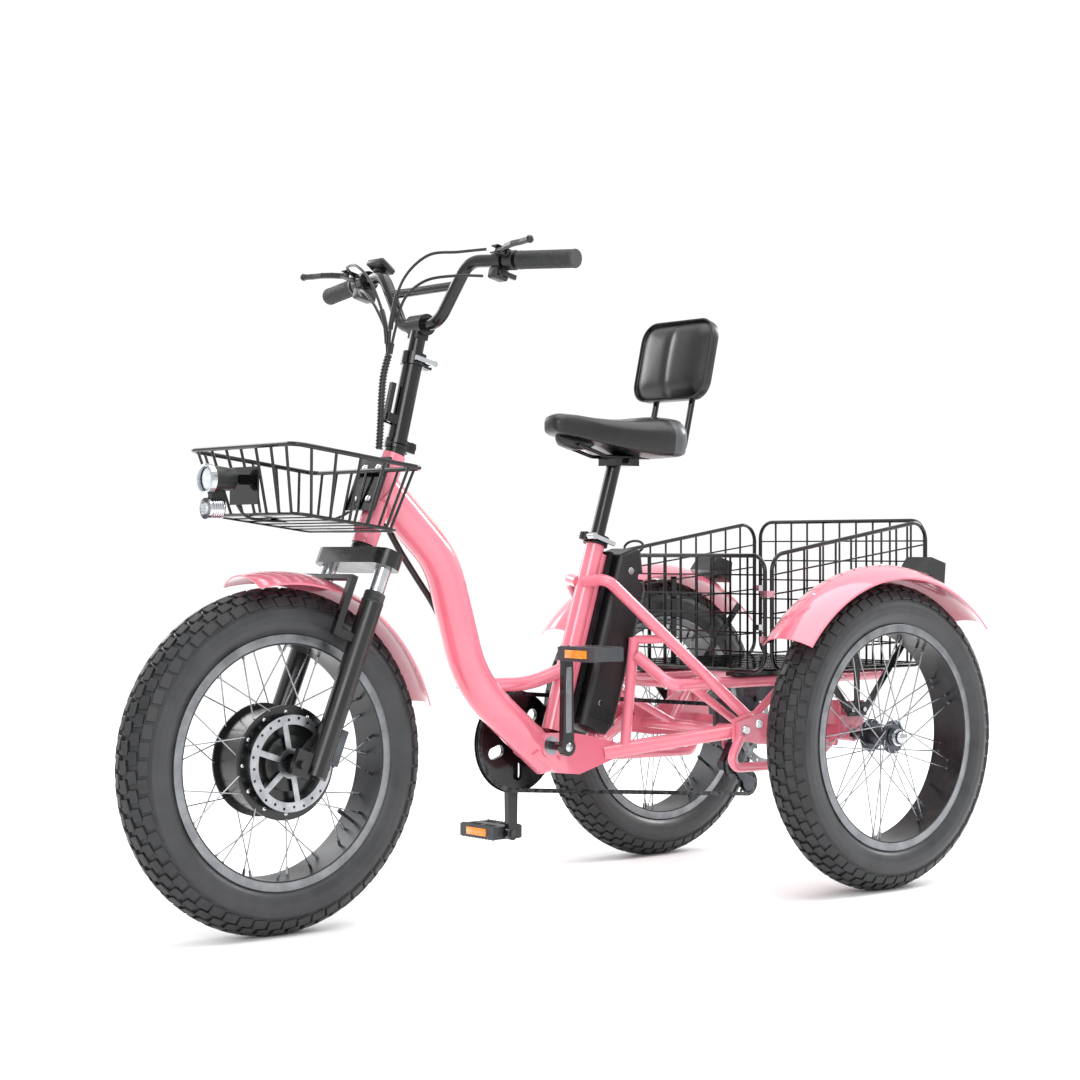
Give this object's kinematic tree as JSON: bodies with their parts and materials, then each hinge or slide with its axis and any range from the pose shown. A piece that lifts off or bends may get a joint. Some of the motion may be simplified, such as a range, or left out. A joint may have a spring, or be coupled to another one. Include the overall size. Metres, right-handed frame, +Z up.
{
  "type": "adult tricycle",
  "caption": "Adult electric tricycle: fat-tyre wheels, step-through frame, hub motor, folding handlebar post, padded seat with backrest, front and rear baskets.",
  "frame": {"origin": "on the floor midway between the front and rear axles and between the rear wheels", "axes": "+X is the rider's left, -Y is forward, +Z is up"},
  "size_m": [0.753, 1.724, 1.1672],
  "materials": {
    "pink_paint": "gloss",
    "black_paint": "gloss",
    "steel": "satin",
    "chain_steel": "oiled",
    "grey_alloy": "satin",
    "rim_alloy": "matte",
    "lever_alloy": "polished",
    "black_alloy": "satin",
    "black_plastic": "satin",
    "pedal_plastic": "moulded",
    "tyre_rubber": "matte",
    "grip_rubber": "matte",
    "cable_sheath": "satin",
    "black_vinyl": "glossy vinyl"
  },
  "bodies": {
    "frame": {"main_frame": "pink_paint", "rear_frame": "pink_paint", "fasteners": "steel", "bearings": "steel", "battery_rail": "black_alloy", "chain": "chain_steel", "derailleur": "grey_alloy", "rear_caliper": "grey_alloy", "rear_basket": "black_paint", "rear_fenders": "pink_paint", "fender_stays": "black_paint", "tail_lights": "black_plastic", "front_basket": "black_paint", "seat_collar": "black_alloy", "frame_cables": "cable_sheath"},
    "seat_lever": {"seat_lever": "lever_alloy"},
    "headlight": {"headlight": "black_plastic"},
    "battery": {"battery": "black_plastic"},
    "seat": {"seatpost": "grey_alloy", "saddle": "black_vinyl", "backrest_frame": "black_paint", "backrest_pad": "black_vinyl"},
    "crank": {"crankset": "black_paint", "chainring": "black_paint"},
    "left_pedal": {"left_pedal": "pedal_plastic"},
    "right_pedal": {"right_pedal": "pedal_plastic"},
    "cassette": {"cassette": "chain_steel"},
    "guide_pulley": {"guide_pulley": "black_plastic"},
    "tension_pulley": {"tension_pulley": "black_plastic"},
    "fork": {"fork_crown": "black_paint", "stem_base": "black_paint"},
    "handlepost": {"handlepost": "black_paint"},
    "fold_latch": {"fold_latch": "black_alloy"},
    "height_lever": {"height_lever": "lever_alloy"},
    "bar": {"stem": "black_paint", "handlebar": "black_paint", "grips": "grip_rubber", "controls": "black_plastic", "bar_cables": "cable_sheath"},
    "left_brake_lever": {"left_brake_lever": "black_alloy"},
    "right_brake_lever": {"right_brake_lever": "black_alloy"},
    "throttle": {"throttle": "black_plastic"},
    "shift_lever": {"shift_lever": "black_plastic"},
    "fork_lowers": {"fork_lowers": "black_paint", "front_fender": "pink_paint", "front_caliper": "grey_alloy"},
    "front_wheel": {"front_tyre": "tyre_rubber", "front_rim": "rim_alloy", "front_spokes": "steel", "hub_motor": "black_paint", "front_rotor": "steel"},
    "left_wheel": {"left_tyre": "tyre_rubber", "left_rim": "rim_alloy", "left_spokes": "steel", "left_hub": "grey_alloy"},
    "right_wheel": {"right_tyre": "tyre_rubber", "right_rim": "rim_alloy", "right_spokes": "steel", "right_hub": "grey_alloy", "rear_rotor": "steel"}
  },
  "joints": [
    {"name": "steering", "type": "hinge", "parent": "frame", "child": "fork", "pos_m": [0, -0.5365, 0.2875], "axis": [0, 0.3746, 0.9272], "range_deg": [-50, 50]},
    {"name": "fork_suspension", "type": "slide", "parent": "fork", "child": "fork_lowers", "axis": [0, 0.3746, 0.9272], "range_m": [0, 0.04], "stiffness_N_per_m": 12000, "springref_m": -0.03},
    {"name": "front_wheel_spin", "type": "hinge", "parent": "fork_lowers", "child": "front_wheel", "pos_m": [0, -0.5745, 0.2875], "axis": [1, 0, 0], "continuous": true},
    {"name": "left_wheel_spin", "type": "hinge", "parent": "frame", "child": "left_wheel", "pos_m": [0.3165, 0.5745, 0.2875], "axis": [1, 0, 0], "continuous": true},
    {"name": "right_wheel_spin", "type": "hinge", "parent": "frame", "child": "right_wheel", "pos_m": [-0.3165, 0.5745, 0.2875], "axis": [1, 0, 0], "continuous": true},
    {"name": "crank_spin", "type": "hinge", "parent": "frame", "child": "crank", "pos_m": [0, -0.0005, 0.283], "axis": [1, 0, 0], "continuous": true},
    {"name": "left_pedal_spin", "type": "hinge", "parent": "crank", "child": "left_pedal", "pos_m": [0.142, -0.0005, 0.453], "axis": [1, 0, 0], "continuous": true},
    {"name": "right_pedal_spin", "type": "hinge", "parent": "crank", "child": "right_pedal", "pos_m": [-0.142, -0.0005, 0.113], "axis": [1, 0, 0], "continuous": true},
    {"name": "cassette_spin", "type": "hinge", "parent": "frame", "child": "cassette", "pos_m": [-0.064, 0.5745, 0.2875], "axis": [1, 0, 0], "continuous": true},
    {"name": "guide_pulley_spin", "type": "hinge", "parent": "frame", "child": "guide_pulley", "pos_m": [-0.064, 0.5605, 0.2055], "axis": [1, 0, 0], "continuous": true},
    {"name": "tension_pulley_spin", "type": "hinge", "parent": "frame", "child": "tension_pulley", "pos_m": [-0.064, 0.5985, 0.1675], "axis": [1, 0, 0], "continuous": true},
    {"name": "post_fold", "type": "hinge", "parent": "fork", "child": "handlepost", "pos_m": [0, -0.30005, 0.8145], "axis": [-1, 0, 0], "range_deg": [0, 80]},
    {"name": "latch_lever", "type": "hinge", "parent": "handlepost", "child": "fold_latch", "pos_m": [0, -0.34082, 0.86589], "axis": [1, 0, 0], "range_deg": [0, 70]},
    {"name": "height_lever", "type": "hinge", "parent": "handlepost", "child": "height_lever", "pos_m": [0, -0.25939, 0.96102], "axis": [-1, 0, 0], "range_deg": [0, 80]},
    {"name": "stem_height", "type": "slide", "parent": "handlepost", "child": "bar", "axis": [0, 0.2419, 0.9703], "range_m": [-0.01, 0.06]},
    {"name": "left_brake", "type": "hinge", "parent": "bar", "child": "left_brake_lever", "pos_m": [0.21946, -0.27461, 1.1383], "axis": [0, 0.2419, 0.9703], "range_deg": [0, 20], "stiffness_Nm_per_rad": 2},
    {"name": "right_brake", "type": "hinge", "parent": "bar", "child": "right_brake_lever", "pos_m": [-0.21946, -0.27461, 1.1383], "axis": [0, -0.2419, -0.9703], "range_deg": [0, 20], "stiffness_Nm_per_rad": 2},
    {"name": "throttle", "type": "hinge", "parent": "bar", "child": "throttle", "pos_m": [0.20792, -0.25724, 1.10349], "axis": [-1, 0, 0], "range_deg": [0, 30], "stiffness_Nm_per_rad": 0.3},
    {"name": "shift_lever", "type": "hinge", "parent": "bar", "child": "shift_lever", "pos_m": [-0.20893, -0.25184, 1.10113], "axis": [-1, 0, 0], "range_deg": [0, 30], "stiffness_Nm_per_rad": 0.3},
    {"name": "seat_height", "type": "slide", "parent": "frame", "child": "seat", "axis": [0, 0.3007, 0.9537], "range_m": [-0.08, 0.08]},
    {"name": "seat_lever", "type": "hinge", "parent": "frame", "child": "seat_lever", "pos_m": [0, 0.11069, 0.66374], "axis": [1, 0, 0], "range_deg": [0, 120]},
    {"name": "battery_slide", "type": "slide", "parent": "frame", "child": "battery", "axis": [0, 0.3007, 0.9537], "range_m": [0, 0.06]},
    {"name": "headlight_tilt", "type": "hinge", "parent": "frame", "child": "headlight", "pos_m": [0, -0.6445, 0.753], "axis": [1, 0, 0], "range_deg": [-12, 12]}
  ],
  "couplings": [
    {"joint": "cassette_spin", "follows": "crank_spin", "ratio": 2.4444},
    {"joint": "guide_pulley_spin", "follows": "crank_spin", "ratio": -4},
    {"joint": "tension_pulley_spin", "follows": "crank_spin", "ratio": 4}
  ]
}
